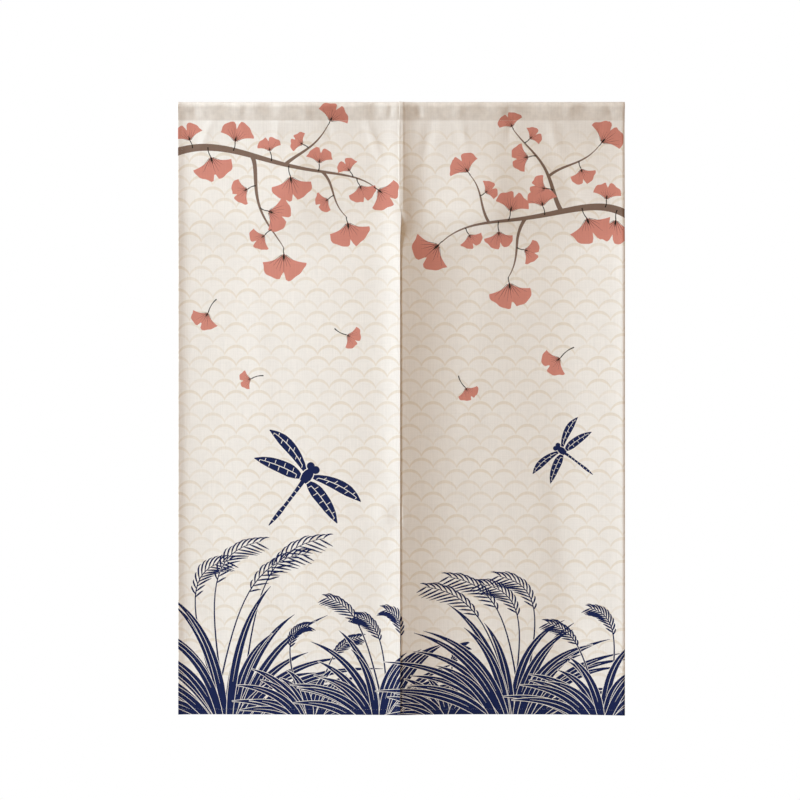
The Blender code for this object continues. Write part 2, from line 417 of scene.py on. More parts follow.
Leaf = namedtuple("Leaf", "share turn stalk size")
LEAVES = {
    "left bough": [
        Leaf(0.08, 18, 0.014, 0.034),
        Leaf(0.15, 196, 0.018, 0.047),
        Leaf(0.27, -12, 0.016, 0.040),
        Leaf(0.46, 8, 0.018, 0.028),
        Leaf(0.55, 188, 0.020, 0.048),
        Leaf(0.70, -6, 0.014, 0.031),
        Leaf(0.88, 30, 0.012, 0.026),
        Leaf(0.90, 202, 0.014, 0.034),
        Leaf(1.00, -128, 0.008, 0.042),
    ],
    "left drop": [
        Leaf(0.34, 112, 0.016, 0.032),
        Leaf(0.56, -112, 0.016, 0.044),
        Leaf(0.80, 128, 0.016, 0.030),
        Leaf(1.00, 180, 0.010, 0.052),
    ],
    "left sprig up": [
        Leaf(0.52, 58, 0.012, 0.025),
        Leaf(1.00, -28, 0.006, 0.038),
    ],
    "left sprig down": [
        Leaf(0.55, 124, 0.012, 0.026),
        Leaf(1.00, -168, 0.010, 0.048),
    ],
    "right bough": [
        Leaf(0.07, 172, 0.018, 0.046),
        Leaf(0.14, -8, 0.014, 0.033),
        Leaf(0.27, 204, 0.020, 0.050),
        Leaf(0.47, 12, 0.016, 0.036),
        Leaf(0.66, -14, 0.016, 0.040),
        Leaf(0.71, 186, 0.018, 0.034),
        Leaf(0.88, 210, 0.014, 0.028),
        Leaf(1.00, 132, 0.008, 0.052),
    ],
    "right rise": [
        Leaf(0.24, 78, 0.014, 0.030),
        Leaf(0.66, 96, 0.014, 0.034),
        Leaf(0.84, -52, 0.012, 0.024),
        Leaf(1.00, 24, 0.004, 0.030),
    ],
    "right sprig out": [
        Leaf(0.60, -164, 0.014, 0.031),
        Leaf(1.00, -40, 0.006, 0.044),
    ],
    "right drop": [
        Leaf(0.52, -108, 0.014, 0.030),
        Leaf(1.00, 188, 0.010, 0.050),
    ],
    "right sprig up": [
        Leaf(0.56, -58, 0.010, 0.025),
        Leaf(1.00, 34, 0.006, 0.038),
    ],
}
FallingLeaf = namedtuple("FallingLeaf", "across run turn stalk size")
FALLING_LEAVES = [
    FallingLeaf(-0.352, 0.792, 148, 0.030, 0.034),
    FallingLeaf(-0.126, 0.736, -118, 0.026, 0.028),
    FallingLeaf(-0.262, 0.646, 104, 0.024, 0.023),
    FallingLeaf(0.330, 0.700, 128, 0.032, 0.036),
    FallingLeaf(0.112, 0.646, -150, 0.026, 0.026),
]


def fan_leaf(seed):
    """A fan leaf drawn upright at size 1: its outline, and the strokes of its veins."""
    chance = random.Random(seed)
    angles = np.linspace(-LEAF_SPREAD, LEAF_SPREAD, LEAF_STEPS + 1)
    reach = 1.0 - LEAF_SHOULDER * np.abs(angles / LEAF_SPREAD) ** 3
    for height, count in LEAF_WAVES:
        reach += height * np.sin(count * angles + chance.uniform(0.0, math.tau))
    notch_at = chance.uniform(-LEAF_NOTCH_ASIDE, LEAF_NOTCH_ASIDE)
    reach -= LEAF_NOTCH * np.exp(-(((angles - notch_at) / LEAF_NOTCH_WIDTH) ** 2))
    rim = np.column_stack([np.sin(angles) * reach, np.cos(angles) * reach])
    shares = np.linspace(0.0, 1.0, LEAF_SIDE_STEPS + 1)[:-1]
    pull_aside, pull_up = LEAF_SIDE_PULL
    left = on_curve(((0.0, 0.0), (-pull_aside, pull_up), rim[0]), shares)
    right = on_curve(((0.0, 0.0), (pull_aside, pull_up), rim[-1]), shares)
    outline = np.vstack([left, rim, right[:0:-1]])
    veins = [brush_stroke(((0.0, 0.0), (0.0, HEART_END)), HEART_WIDTHS, VEIN_STEPS)]
    for vein in range(VEIN_COUNT):
        angle = mixed(-LEAF_SPREAD, LEAF_SPREAD, (vein + 1) / (VEIN_COUNT + 1))
        ahead = np.array([math.sin(angle), math.cos(angle)])
        length = chance.uniform(VEIN_SHORTEST, VEIN_LONGEST)
        veins.append(brush_stroke((ahead * VEIN_STARTS, ahead * length), VEIN_WIDTHS, VEIN_STEPS))
    return outline, veins


def print_leaf(foot, turn, stalk, size, seed):
    """One leaf and its stalk, which grows from foot. turn is anticlockwise from upright."""
    angle = math.radians(turn)
    ahead = np.array([-math.sin(angle), math.cos(angle)])
    throat = foot + ahead * stalk
    bow = (foot + throat) / 2.0 + np.array([ahead[1], -ahead[0]]) * stalk * STALK_SAG
    print_patch(brush_stroke((foot, bow, throat), STALK_WIDTHS, STALK_STEPS), "brush black")
    outline, veins = fan_leaf(seed)
    print_patch(set_down(outline, throat, turn, size), "dusty coral")
    for vein in veins:
        print_patch(set_down(vein, throat, turn, size), "brush black")


twig_curves = {}
for twig in TWIGS:
    control = [np.array(place) for place in twig.reaches]
    if twig.parent:
        root = on_curve(twig_curves[twig.parent], np.array([twig.share]))[0]
        control = [root] + [root + reach for reach in control]
    twig_curves[twig.name] = control
    print_patch(brush_stroke(control, twig.widths, TWIG_STEPS), "bark brown")
numbers = itertools.count()
for twig_name, leaves in LEAVES.items():
    for leaf in leaves:
        foot = on_curve(twig_curves[twig_name], np.array([leaf.share]))[0]
        print_leaf(foot, leaf.turn, leaf.stalk, leaf.size, next(numbers))
for leaf in FALLING_LEAVES:
    foot = np.array([leaf.across, leaf.run])
    print_leaf(foot, leaf.turn, leaf.stalk, leaf.size, next(numbers))

# Grass clumps
# Clumps of tall plume grass in solid navy rise from the hem. Blades arch over each other, parted by a
# narrow bare rim and a bare midrib, and feathery plumes nod above them.
Clump = namedtuple("Clump", "across height spread blades plumes wind seed")
CLUMPS = [
    Clump(-0.330, 0.300, 48, 25, 4, 0.34, 3),
    Clump(-0.172, 0.160, 58, 17, 2, 0.30, 8),
    Clump(-0.040, 0.215, 50, 20, 3, -0.24, 5),
    Clump(0.092, 0.130, 60, 14, 1, 0.20, 12),
    Clump(0.214, 0.275, 46, 24, 4, -0.36, 7),
    Clump(0.384, 0.200, 52, 18, 2, -0.28, 4),
]
BLADE_WIDTHS = (0.0110, 0.0155, 0.0150, 0.0118, 0.0070, 0.0006)
BLADE_STEPS = 14
BLADE_RIM = 0.0010
BLADE_SWAY = 5.0
BLADE_HEIGHTS = (0.66, 1.04)
OUTER_BLADES_LOWER = 0.42
BLADE_DROOP = 0.16
OUTER_DROOP = 0.34
UNEVEN_DROOP = 0.22
BLADE_FOOT_SPREAD = 0.18
BLADE_FEET = (0.5, 1.2)
BENDS_AT = 0.62
TIP_FALLS = 0.55
ROOT_RUN = -0.012
RIB_WIDTHS = (0.0004, 0.0011, 0.0009, 0.0004)
RIB_START = 0.22
RIB_END = 0.80
RIB_STEPS = 7

STEM_WIDTHS = (0.0036, 0.0030, 0.0024, 0.0018, 0.0010)
STEM_STEPS = 18
STEM_RIM = 0.0006
STEM_SPREAD = 0.42
STEM_SWAY = 4.0
STEM_HEIGHTS = (0.94, 1.20)
STEM_FEET = 0.6
NOD_FALLS = 0.04
NOD_RISES = (0.50, 0.66)
PLUME_SHARES = (0.56, 0.995)
PLUME_SWELLS = (0.16, 0.74)
SPIKELETS = 22
SPIKELET_WIDTHS = (0.0014, 0.0036, 0.0030, 0.0006)
SPIKELET_STEPS = 4
SPIKELET_LENGTH = 0.110
SPIKELET_UNEVEN = (0.85, 1.15)
SPIKELET_SHORTEST = 0.008
SPIKELET_MIDDLE = (0.42, 0.36)
SPIKELET_TIP = (0.82, 0.46)
SPIKELET_BLOWN = 0.30
SPIKELET_HANGS = 0.26

MOUND_STEPS = 26
MOUND_WIDTH = 0.38
MOUND_HEIGHT = 0.20
MOUND_RIPPLE = 0.06
MOUND_RIPPLES = 9.0


def arching(clump, lean, height, droop, foot):
    """Control places of a stem or blade that leans, then droops to the side that it leans to."""
    angle = math.radians(lean)
    rise = np.array([math.sin(angle), math.cos(angle)]) * height
    root = np.array([clump.across + foot, ROOT_RUN])
    bend = math.copysign(1.0, lean) * droop * height
    tip = root + rise + np.array([bend, -droop * height * TIP_FALLS])
    return root, root + rise * BENDS_AT, tip


def rimmed_stroke(control, widths, steps, rim):
    """A navy stroke on a slightly wider bare one, as the two patches that make it."""
    yield brush_stroke(control, widths, steps, extra=rim), "bare cloth"
    yield brush_stroke(control, widths, steps), "navy"


def print_plume(clump, number, chance):
    """A stem that nods in the wind, and the spikelets that stand out on both sides of its end."""
    share = (number + 0.5) / clump.plumes
    lean = mixed(-clump.spread, clump.spread, share) * STEM_SPREAD + chance.uniform(-STEM_SWAY, STEM_SWAY)
    height = clump.height * chance.uniform(*STEM_HEIGHTS)
    half_foot = clump.height * BLADE_FOOT_SPREAD
    root, rise, _ = arching(clump, lean, height, 0.0, chance.uniform(-half_foot, half_foot) * STEM_FEET)
    nod = np.array([clump.wind, -NOD_FALLS]) * height
    first, last = NOD_RISES
    control = (root, rise, rise + (rise - root) * first, rise + (rise - root) * last + nod)
    for outline, ink in rimmed_stroke(control, STEM_WIDTHS, STEM_STEPS, STEM_RIM):
        print_patch(outline, ink)
    places = on_curve(control, np.linspace(*PLUME_SHARES, SPIKELETS))
    ahead = np.gradient(places, axis=0)
    for spikelet, (place, way) in enumerate(zip(places, ahead)):
        way = way / np.linalg.norm(way)
        aside = np.array([-way[1], way[0]]) * (1.0 if spikelet % 2 else -1.0)
        narrow, grows = PLUME_SWELLS
        swell = math.sin(math.pi * (narrow + grows * spikelet / SPIKELETS))
        length = clump.height * SPIKELET_LENGTH * swell * chance.uniform(*SPIKELET_UNEVEN)
        length += SPIKELET_SHORTEST
        middle, tip = (
            place + way * length * on + aside * length * off
            for on, off in (SPIKELET_MIDDLE, SPIKELET_TIP)
        )
        tip += np.array([clump.wind * SPIKELET_BLOWN, -SPIKELET_HANGS]) * length
        print_patch(brush_stroke((place, middle, tip), SPIKELET_WIDTHS, SPIKELET_STEPS), "navy")


def print_mound(clump):
    """The solid foot of a clump at the hem."""
    angles = np.linspace(0.0, math.pi, MOUND_STEPS + 1)
    ripple = 1.0 + MOUND_RIPPLE * np.sin(MOUND_RIPPLES * angles + clump.seed)
    mound = np.column_stack([
        clump.across + clump.height * MOUND_WIDTH * np.cos(angles) * ripple,
        ROOT_RUN + clump.height * MOUND_HEIGHT * np.sin(angles) * ripple,
    ])
    print_patch(mound, "navy")


def print_blade(clump, number, chance):
    """One blade with its bare rim and midrib. Those further out lean more and are lower."""
    share = (number + 0.5) / clump.blades * 2.0 - 1.0
    lean = clump.spread * share + chance.uniform(-BLADE_SWAY, BLADE_SWAY)
    height = clump.height * (1.0 - OUTER_BLADES_LOWER * abs(share)) * chance.uniform(*BLADE_HEIGHTS)
    droop = BLADE_DROOP + OUTER_DROOP * abs(share) + chance.uniform(0.0, UNEVEN_DROOP)
    foot = clump.height * BLADE_FOOT_SPREAD * share * chance.uniform(*BLADE_FEET)
    control = arching(clump, lean, height, droop, foot)
    for outline, ink in rimmed_stroke(control, BLADE_WIDTHS, BLADE_STEPS, BLADE_RIM):
        print_patch(outline, ink)
    print_patch(brush_stroke(control, RIB_WIDTHS, RIB_STEPS, RIB_START, RIB_END), "bare cloth")


for clump in CLUMPS:
    chance = random.Random(clump.seed)
    for number in range(clump.plumes):
        print_plume(clump, number, chance)
    print_mound(clump)
    order = list(range(clump.blades))
    chance.shuffle(order)
    for number in order:
        print_blade(clump, number, chance)

# Dragonflies
# Two dragonflies fly over the grass, in the same navy, with the wing veins and the body's rings left
# bare. Each is drawn upright at size 1, with its head up, and then turned.
Dragonfly = namedtuple("Dragonfly", "across run turn size")
DRAGONFLIES = [
    Dragonfly(-0.190, 0.440, -38, 0.168),
    Dragonfly(0.316, 0.496, 52, 0.104),
]
Wing = namedtuple("Wing", "root bend tip widths")
WINGS = [
    Wing((0.03, 0.13), (0.34, 0.30), (0.66, 0.26), (0.03, 0.075, 0.105, 0.125, 0.135, 0.125, 0.08, 0.01)),
    Wing((0.03, 0.06), (0.30, 0.04), (0.60, -0.10), (0.03, 0.110, 0.150, 0.150, 0.140, 0.120, 0.08, 0.01)),
]
WING_STEPS = 22
WING_RIM = 0.012
WING_CELLS = 9
WING_VEIN_WIDTHS = (0.007, 0.007)
WING_VEIN_SLANT = 0.35
WING_VEIN_REACH = 0.36
WING_LONG_VEIN = (0.008, 0.009, 0.006)
WING_VEIN_SHARES = (0.14, 0.90)
BODY_PARTS = [
    (((0.0, 0.20), (0.0, 0.00)), (0.060, 0.110, 0.120, 0.095, 0.055)),
    (((0.0, 0.03), (0.015, -0.28), (0.0, -0.60)),
     (0.050, 0.044, 0.038, 0.036, 0.040, 0.052, 0.040, 0.010)),
]
BODY_STEPS = 16
BODY_RIM = 0.010
EYE_PLACES = ((-0.036, 0.226), (0.036, 0.226))
EYE_SIZE = 0.046
EYE_STEPS = 14
BODY_RINGS = 8
RING_SHARES = (0.12, 0.88)
RING_WIDTHS = (0.006, 0.006)
RING_REACH = 0.018


def print_dragonfly(fly):
    """All patches of one dragonfly, the hind wings first."""
    place = (fly.across, fly.run)

    def lay(outline, ink):
        print_patch(set_down(outline, place, fly.turn, fly.size), ink)

    for wing in reversed(WINGS):
        for hand in (-1.0, 1.0):
            control = [(x * hand, y) for x, y in (wing.root, wing.bend, wing.tip)]
            for outline, ink in rimmed_stroke(control, wing.widths, WING_STEPS, WING_RIM):
                lay(outline, ink)
            start, end = WING_VEIN_SHARES
            lay(brush_stroke(control, WING_LONG_VEIN, WING_STEPS, start, end), "bare cloth")
            shares = np.linspace(start, end, WING_CELLS)
            middle = on_curve(control, shares)
            widths = np.interp(shares, np.linspace(0.0, 1.0, len(wing.widths)), wing.widths)
            for number, (spot, width) in enumerate(zip(middle, widths)):
                side = 1.0 if number % 2 else -1.0
                slant = np.array([WING_VEIN_SLANT * hand * side, side])
                far = spot + slant * width * WING_VEIN_REACH
                lay(brush_stroke((spot, far), WING_VEIN_WIDTHS, 1), "bare cloth")
    for control, widths in BODY_PARTS:
        for outline, ink in rimmed_stroke(control, widths, BODY_STEPS, BODY_RIM):
            lay(outline, ink)
    angles = np.linspace(0.0, math.tau, EYE_STEPS, endpoint=False)
    eye = np.column_stack([np.cos(angles), np.sin(angles)]) * EYE_SIZE
    for spot in EYE_PLACES:
        lay(eye + np.array(spot), "navy")
    tail, _ = BODY_PARTS[1]
    for spot in on_curve(tail, np.linspace(*RING_SHARES, BODY_RINGS)):
        ends = (spot - (RING_REACH, 0.0), spot + (RING_REACH, 0.0))
        lay(brush_stroke(ends, RING_WIDTHS, 1), "bare cloth")


for fly in DRAGONFLIES:
    print_dragonfly(fly)

# Printed cloth finish
# Plain-woven polyester linen with a matt face: uneven threads both ways, a pale fish-scale ground print
# that fades out below the pocket, and flat inks on top. Ink shows only faintly on the back. The pocket
# is more uneven in tone and is painted darker and warmer as painted shade, and the cloth just below it is
# painted a little darker as painted shade.
INK_COLOURS = {
    "bare cloth": (0.790, 0.766, 0.722),
    "dusty coral": (0.575, 0.232, 0.182),
    "bark brown": (0.190, 0.127, 0.096),
    "brush black": (0.016, 0.015, 0.012),
    "navy": (0.0045, 0.0115, 0.0660),
}
GROUND = (0.790, 0.771, 0.735)
GROUND_ARC = (0.712, 0.660, 0.575)
BACK_SHARE = 0.16
CLOTH_ROUGHNESS = 0.92
CLOTH_SPECULAR = 0.20
CLOTH_SHEEN = 0.03

ARC_PITCH = 0.04455
ARC_ROW = 0.02153
ARC_RADIUS = 0.0240
ARC_X = -0.3812
ARC_RUN = 0.7668
ARC_TOP_WIDTH = 0.0058
ARC_END_WIDTH = 0.0022
ARC_SOFTNESS = 0.0009
ARC_FAINTEST = 0.50
ARC_GLOW_REACH = 0.0075
ARC_GLOW = 0.014
SCALE_TONES = 0.012
ARCS_FADE_FROM = 1.085
ARCS_FADE_TO = 1.131

UV_NAME = "flat cloth"
MIX_SHARE, MIX_FIRST, MIX_SECOND, MIX_RESULT = 0, 6, 7, 2
NOISE_DETAIL = 1.5
THREAD_ACROSS = 480.0
THREAD_ALONG = 22.0
PICK_SHARE = 0.35
SLUB_COLOUR = 0.095
SLUB_BUMP = 0.55
MOTTLE_RATE = 90.0
MOTTLE_COLOUR = 0.035
POCKET_MOTTLE = 0.200
# Painted shade: the cloth is painted darker towards the pocket's stitches, over this reach below them,
# down to this share.
UNDER_POCKET_SHADE_REACH = 0.060
UNDER_POCKET_PAINTED_SHADE = 0.950
SPECKLE_RATE = 420.0
SPECKLE_COLOUR = 0.040
# Painted shade: the rod pocket's colour is multiplied by this, darker and warmer, for the shade on the
# pocket.
POCKET_PAINTED_SHADE = (0.922, 0.900, 0.878)
WEAVE_PITCH = 0.00062
WEAVE_BUMP = 0.35
BUMP_DISTANCE = 0.00012


class Reading:
    """A number that a material works out place by place. Arithmetic with it adds the nodes for it."""

    def __init__(self, wiring, socket):
        self.wiring = wiring
        self.socket = socket

    def __add__(self, other):
        return self.wiring.reckon("ADD", self, other)

    def __radd__(self, other):
        return self.wiring.reckon("ADD", other, self)

    def __sub__(self, other):
        return self.wiring.reckon("SUBTRACT", self, other)

    def __rsub__(self, other):
        return self.wiring.reckon("SUBTRACT", other, self)

    def __mul__(self, other):
        return self.wiring.reckon("MULTIPLY", self, other)

    def __truediv__(self, other):
        return self.wiring.reckon("DIVIDE", self, other)


class Wiring:
    """Adds nodes to one new material and joins them up."""

    def __init__(self, name):
        self.material = bpy.data.materials.new(name)
        self.material.use_nodes = True
        self.tree = self.material.node_tree
        self.shader = self.tree.nodes["Principled BSDF"]

    def add(self, kind, **settings):
        node = self.tree.nodes.new(kind)
        for name, value in settings.items():
            setattr(node, name, value)
        return node

    def feed(self, socket, value):
        if isinstance(value, Reading):
            value = value.socket
        if isinstance(value, bpy.types.NodeSocket):
            self.tree.links.new(value, socket)
        else:
            socket.default_value = value

    def reckon(self, operation, *values):
        node = self.add("ShaderNodeMath", operation=operation)
        for socket, value in zip(node.inputs, values):
            self.feed(socket, value)
        return Reading(self, node.outputs["Value"])

    def ramp(self, value, start, end, low=0.0, high=1.0):
        node = self.add("ShaderNodeMapRange", interpolation_type="SMOOTHSTEP")
        sockets = ("Value", "From Min", "From Max", "To Min", "To Max")
        for name, given in zip(sockets, (value, start, end, low, high)):
            self.feed(node.inputs[name], given)
        return Reading(self, node.outputs["Result"])

    def blend(self, share, first, second, blend_type="MIX"):
        node = self.add("ShaderNodeMix", data_type="RGBA", blend_type=blend_type)
        for socket, value in zip((MIX_SHARE, MIX_FIRST, MIX_SECOND), (share, first, second)):
            self.feed(node.inputs[socket], value)
        return node.outputs[MIX_RESULT]

    def apart(self, place):
        node = self.add("ShaderNodeSeparateXYZ")
        self.feed(node.inputs["Vector"], place)
        return [Reading(self, part) for part in node.outputs]

    def together(self, *parts):
        node = self.add("ShaderNodeCombineXYZ")
        for socket, value in zip(node.inputs, parts):
            self.feed(socket, value)
        return node.outputs["Vector"]

    def finish(self, relief, relief_height, **settings):
        """Sets the shader's own numbers and its relief, and gives the finished material."""
        bump = self.add("ShaderNodeBump")
        self.feed(bump.inputs["Height"], relief)
        self.feed(bump.inputs["Distance"], relief_height)
        self.feed(self.shader.inputs["Normal"], bump.outputs["Normal"])
        for name, value in settings.items():
            self.feed(self.shader.inputs[name.replace("_", " ")], value)
        return self.material


def opaque(colour):
    return (*colour, 1.0)


def fish_scales(wiring, across, run):
    """How much of the arc colour shows at a place on the cloth, and how light the ground is there."""
    line = 0.0
    light = 1.0
    for chain in (0, 1):
        columns = (across - (ARC_X + chain * ARC_PITCH / 2.0)) / ARC_PITCH
        column = wiring.reckon("ROUND", columns)
        aside = (columns - column) * ARC_PITCH
        square = aside * aside
        upright = wiring.reckon("SQRT", ARC_RADIUS**2 - square)
        height = run - (ARC_RUN - chain * ARC_ROW - ARC_RADIUS)
        rows = (height - upright) / (2.0 * ARC_ROW)
        row = wiring.reckon("ROUND", rows)
        off = (rows - row) * (2.0 * ARC_ROW) * (upright / ARC_RADIUS)
        narrows = (ARC_TOP_WIDTH - ARC_END_WIDTH) / 2.0 / (ARC_PITCH / 2.0) ** 2
        reach = ARC_TOP_WIDTH / 2.0 - square * narrows
        past = wiring.reckon("ABSOLUTE", off) - reach
        on_line = wiring.ramp(past, -ARC_SOFTNESS, ARC_SOFTNESS, 1.0, 0.0)
        noise = wiring.add("ShaderNodeTexWhiteNoise", noise_dimensions="3D")
        wiring.feed(noise.inputs["Vector"], wiring.together(column, row, float(chain)))
        chance = Reading(wiring, noise.outputs["Value"])
        drawn = wiring.ramp(chance, 0.0, 1.0, ARC_FAINTEST, 1.0)
        line = wiring.reckon("MAXIMUM", line, on_line * drawn)
        is_below = wiring.reckon("LESS_THAN", off, 0.0)
        below = is_below * wiring.ramp(off, -ARC_GLOW_REACH, 0.0)
        light = light + below * ARC_GLOW + (chance - 0.5) * SCALE_TONES
    shows = wiring.ramp(run, ARCS_FADE_FROM, ARCS_FADE_TO, 1.0, 0.0)
    return line * shows, light


def thread_noise(wiring, across, run, across_rate, run_rate):
    """Uneven threads: a noise drawn out along one direction of the cloth."""
    noise = wiring.add("ShaderNodeTexNoise", noise_dimensions="2D")
    place = wiring.together(across * across_rate, run * run_rate)
    wiring.feed(noise.inputs["Vector"], place)
    wiring.feed(noise.inputs["Scale"], 1.0)
    wiring.feed(noise.inputs["Detail"], NOISE_DETAIL)
    return Reading(wiring, noise.outputs["Fac"])


def cloth_finish(name, ink, is_back):
    """One ink on the cloth, or the bare printed ground where ink is ground."""
    wiring = Wiring(name)
    flat = wiring.add("ShaderNodeUVMap", uv_map=UV_NAME)
    across, run, _ = wiring.apart(flat.outputs["UV"])

    light = 1.0
    if ink == "ground":
        line, light = fish_scales(wiring, across, run)
        if is_back:
            line = line * BACK_SHARE
        colour = wiring.blend(line, opaque(GROUND), opaque(GROUND_ARC))
    elif is_back:
        colour = opaque(mixed(np.array(GROUND), np.array(INK_COLOURS[ink]), BACK_SHARE))
    else:
        colour = opaque(INK_COLOURS[ink])

    slubs = thread_noise(wiring, across, run, THREAD_ACROSS, THREAD_ALONG)
    picks = thread_noise(wiring, across, run, THREAD_ALONG, THREAD_ACROSS)
    uneven = slubs * (1.0 - PICK_SHARE) + picks * PICK_SHARE
    light = light + (uneven - 0.5) * (2.0 * SLUB_COLOUR)
    # The rod pocket's cloth: where the painted shade and the stronger mottle go.
    pocket_mask = wiring.reckon("GREATER_THAN", run, STITCH_RUN)
    mottle = thread_noise(wiring, across, run, MOTTLE_RATE, MOTTLE_RATE)
    patchy = wiring.ramp(pocket_mask, 0.0, 1.0, MOTTLE_COLOUR, POCKET_MOTTLE)
    speckle = thread_noise(wiring, across, run, SPECKLE_RATE, SPECKLE_RATE)
    light = light + (mottle - 0.5) * patchy + (speckle - 0.5) * SPECKLE_COLOUR
    # Painted shade: the cloth is painted a little darker just below the pocket.
    under = wiring.ramp(run, STITCH_RUN - UNDER_POCKET_SHADE_REACH, STITCH_RUN, 1.0, UNDER_POCKET_PAINTED_SHADE)
    light = light * wiring.reckon("MAXIMUM", under, pocket_mask)
    # Painted shade: the pocket's cloth is painted darker and warmer.
    shade = wiring.add("ShaderNodeCombineColor")
    for socket, pocket_shade in zip(shade.inputs, POCKET_PAINTED_SHADE):
        wiring.feed(socket, light * wiring.ramp(pocket_mask, 0.0, 1.0, 1.0, pocket_shade))
    warp = wiring.reckon("SINE", across * (math.tau / WEAVE_PITCH))
    weft = wiring.reckon("SINE", run * (math.tau / WEAVE_PITCH))
    return wiring.finish(
        uneven * SLUB_BUMP + warp * weft * WEAVE_BUMP,
        BUMP_DISTANCE,
        Base_Color=wiring.blend(1.0, colour, shade.outputs["Color"], "MULTIPLY"),
        Roughness=CLOTH_ROUGHNESS,
        Specular_IOR_Level=CLOTH_SPECULAR,
        Sheen_Weight=CLOTH_SHEEN,
    )


FRONT_INKS = ["ground", *INK_COLOURS]
cloth_finishes = [cloth_finish("printed linen, " + ink, ink, False) for ink in FRONT_INKS]
cloth_finishes += [cloth_finish("linen back, " + ink, ink, True) for ink in FRONT_INKS]

# The two panels
# Each is one cloth from its hem, up its front, over the rod pocket and down to the pocket's tucked edge.
# Its side, slit and bottom edges are turned to the back and stitched, which makes them two layers thick.

# Marks across and up the flat cloth, each with the spacing of the mesh from there to the next one.
ACROSS_MARKS = (
    (0.0, 0.0003),
    (EDGE_ROUND, 0.0008),
    (0.0038, 0.0016),
    (SIDE_HEM, HEM_STEP),
    (SIDE_HEM + HEM_STEP, 0.0032),
    (0.045, 0.0078),
    (OUTER_EDGE - 0.045, 0.0045),
    (OUTER_EDGE - SIDE_HEM - HEM_STEP, HEM_STEP),
    (OUTER_EDGE - SIDE_HEM, 0.0028),
    (OUTER_EDGE - EDGE_ROUND, 0.0003),
    (OUTER_EDGE, 0.0),
)
RUN_MARKS = (
    (0.0, 0.0003),
    (EDGE_ROUND, 0.0038),
    (BOTTOM_HEM, HEM_STEP),
    (BOTTOM_HEM + HEM_STEP, 0.0120),
    (STITCH_RUN - 0.170, 0.0070),
    (STITCH_RUN - 0.012, 0.0020),
    (STITCH_RUN, 0.0014),
    (STITCH_RUN + 0.008, 0.0024),
    (STITCH_RUN + POCKET_ROUND - 0.008, 0.0014),
    (STITCH_RUN + POCKET_ROUND, 0.0012),
    (CLOTH_RUN - EDGE_ROUND, 0.0003),
    (CLOTH_RUN, 0.0),
)
NEAR_OUTLINE = 0.0013
SPARE_STEP = 0.01
TRIANGULATION_REACH = 0.000002
SMALLEST_FACE = 1e-10
FRONT_LAYER, BACK_LAYER = 1.0, 0.0


def stations(marks):
    """Places from mark to mark, each mark's own spacing apart or a little less."""
    places = []
    for (start, spacing), (end, _) in zip(marks, marks[1:]):
        count = max(1, math.ceil((end - start) / spacing - SPARE_STEP))
        places += [mixed(start, end, step / count) for step in range(count)]
    return places + [marks[-1][0]]


def inside(outline, places):
    """Which places lie within an outline."""
    x, y = places[:, 0, None], places[:, 1, None]
    from_x, from_y = outline[:, 0], outline[:, 1]
    to_x, to_y = np.roll(from_x, -1), np.roll(from_y, -1)
    left = (to_x - from_x) * (y - from_y) - (x - from_x) * (to_y - from_y)
    upward = (from_y <= y) & (to_y > y) & (left > 0.0)
    downward = (from_y > y) & (to_y <= y) & (left < 0.0)
    return upward.sum(axis=1) != downward.sum(axis=1)


def prints_on(side):
    """The prints that reach this panel."""
    low, high = sorted((0.0, side * OUTER_EDGE))
    reaching = []
    for item in prints:
        across, run = item.outline[:, 0], item.outline[:, 1]
        if across.max() > low and across.min() < high and run.max() > 0.0:
            reaching.append(item)
    return reaching


def on_flat(points, faces):
    """A tree that finds the flat triangle under a place."""
    return BVHTree.FromPolygons([(x, y, 0.0) for x, y in points], faces.tolist())


def triangulated(places, edges):
    """Points and triangles that fill the places' hull and follow all the edges."""
    made = delaunay_2d_cdt([Vector(place) for place in places], edges, [], 0, TRIANGULATION_REACH, False)
    return np.array([tuple(point) for point in made[0]]), np.array(made[2])


def inked_triangles(side):
    """Triangles that follow every outline that reaches a panel, and the number of each one's ink."""
    places = []
    edges = []
    for item in prints_on(side):
        first = len(places)
        places += [tuple(place) for place in item.outline]
        count = len(item.outline)
        edges += [(first + step, first + (step + 1) % count) for step in range(count)]
    points, faces = triangulated(places, edges)
    middles = points[faces].mean(axis=1)
    order = np.argsort(middles[:, 0])
    middles = middles[order]
    inks = np.zeros(len(faces), dtype=int)
    for item in prints_on(side):
        low, high = item.outline.min(axis=0), item.outline.max(axis=0)
        first, last = np.searchsorted(middles[:, 0], (low[0], high[0]))
        runs = middles[first:last, 1]
        near = first + np.flatnonzero((runs >= low[1]) & (runs <= high[1]))
        if len(near):
            covered = near[inside(item.outline, middles[near])]
            inks[order[covered]] = FRONT_INKS.index(item.ink)
    return points, faces, inks


def ink_borders(points, faces, inks):
    """The triangle edges that have a different ink on either side, with the points that they use."""
    sides = np.concatenate([faces[:, (0, 1)], faces[:, (1, 2)], faces[:, (2, 0)]])
    inks = np.tile(inks, 3)
    sides = np.sort(sides, axis=1)
    order = np.lexsort((sides[:, 1], sides[:, 0]))
    sides, inks = sides[order], inks[order]
    same = np.all(sides[1:] == sides[:-1], axis=1)
    borders = sides[1:][same & (inks[1:] != inks[:-1])]
    used, numbers = np.unique(borders, return_inverse=True)
    return points[used], numbers.reshape(-1, 2)


